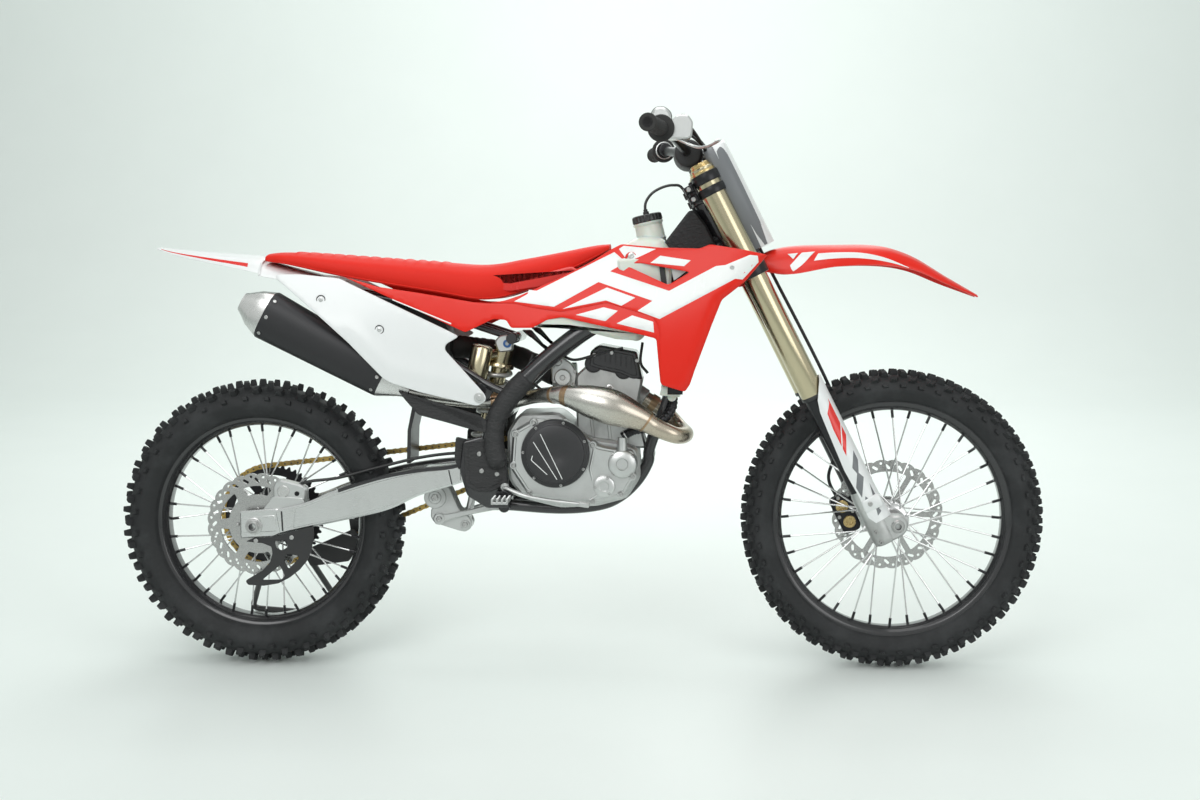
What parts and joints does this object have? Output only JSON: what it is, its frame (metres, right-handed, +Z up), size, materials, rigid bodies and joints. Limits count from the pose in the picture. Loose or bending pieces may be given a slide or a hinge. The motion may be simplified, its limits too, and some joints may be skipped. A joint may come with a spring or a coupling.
{
  "type": "motocross motorcycle on a triangle stand",
  "caption": "Dirt bike with knobbly spoked wheels, long-travel fork, linked rear shock, right-side exhaust and plastic bodywork, leaning on a separate triangle stand",
  "frame": {"origin": "centre of the bounding box on the floor under the leaning machine", "axes": "+X forward along the machine, +Y to the rider's left, the side that it leans to, +Z up from the floor"},
  "size_m": [2.1554, 0.8032, 1.2755],
  "materials": {
    "black_aluminium": "anodised black",
    "black_frame": "painted black, glossy",
    "black_plastic": "textured",
    "black_rubber": "matt",
    "cast_aluminium": "cast, satin",
    "chain_steel": "gold plated",
    "gold_aluminium": "anodised champagne gold",
    "polished_aluminium": "brushed",
    "red_plastic": "glossy",
    "saddle": "grippy cover",
    "stainless": "heat tinted",
    "steel": "satin",
    "tank_plastic": "translucent white, satin",
    "tyre_rubber": "dusty black rubber",
    "white_plastic": "glossy"
  },
  "bodies": {
    "frame": {"airbox": "black_plastic", "chain": "chain_steel", "clutch_cover": "black_aluminium", "cooling": "black_aluminium", "engine": "cast_aluminium", "exhaust_header": "stainless", "foot_controls": "steel", "frame_guards": "black_plastic", "head_cover": "black_aluminium", "intake": "black_rubber", "linkage": "cast_aluminium", "main_frame": "black_frame", "muffler": "black_aluminium", "rear_axle": "steel", "rear_caliper": "black_aluminium", "rear_fender": "white_plastic", "seat": "saddle", "shock": "gold_aluminium", "shroud_left": "red_plastic", "shroud_right": "red_plastic", "side_covers": "cast_aluminium", "side_panel_left": "white_plastic", "side_panel_right": "white_plastic", "stand": "black_frame", "swingarm": "polished_aluminium", "swingarm_guards": "black_plastic", "tank": "tank_plastic", "tank_cap": "black_plastic"},
    "steering": {"triple_clamps": "cast_aluminium", "fork_tubes": "gold_aluminium", "fork_lowers": "cast_aluminium", "fork_guards": "white_plastic", "front_fender": "red_plastic", "number_plate": "white_plastic", "handlebar": "black_aluminium", "bar_controls": "black_rubber", "front_brake": "black_aluminium", "front_axle": "steel"},
    "rear_wheel": {"rear_tyre": "tyre_rubber", "rear_rim": "black_aluminium", "rear_hub": "steel", "rear_brake_disc": "steel", "rear_sprocket": "steel"},
    "front_wheel": {"front_tyre": "tyre_rubber", "front_rim": "black_aluminium", "front_hub": "steel", "front_brake_disc": "steel"}
  },
  "joints": [
    {"name": "rear_wheel_spin", "type": "hinge", "parent": "frame", "child": "rear_wheel", "pos_m": [-0.74492, -0.09256, 0.33615], "axis": [0, 0.9945, -0.1045], "continuous": true},
    {"name": "steering", "type": "hinge", "parent": "frame", "child": "steering", "pos_m": [0.34285, -0.02424, 0.98613], "axis": [-0.4462, 0.0935, 0.89], "range_deg": [-40, 40]},
    {"name": "front_wheel_spin", "type": "hinge", "parent": "steering", "child": "front_wheel", "pos_m": [0.73008, -0.09137, 0.34745], "axis": [0, 0.9945, -0.1045], "continuous": true}
  ]
}
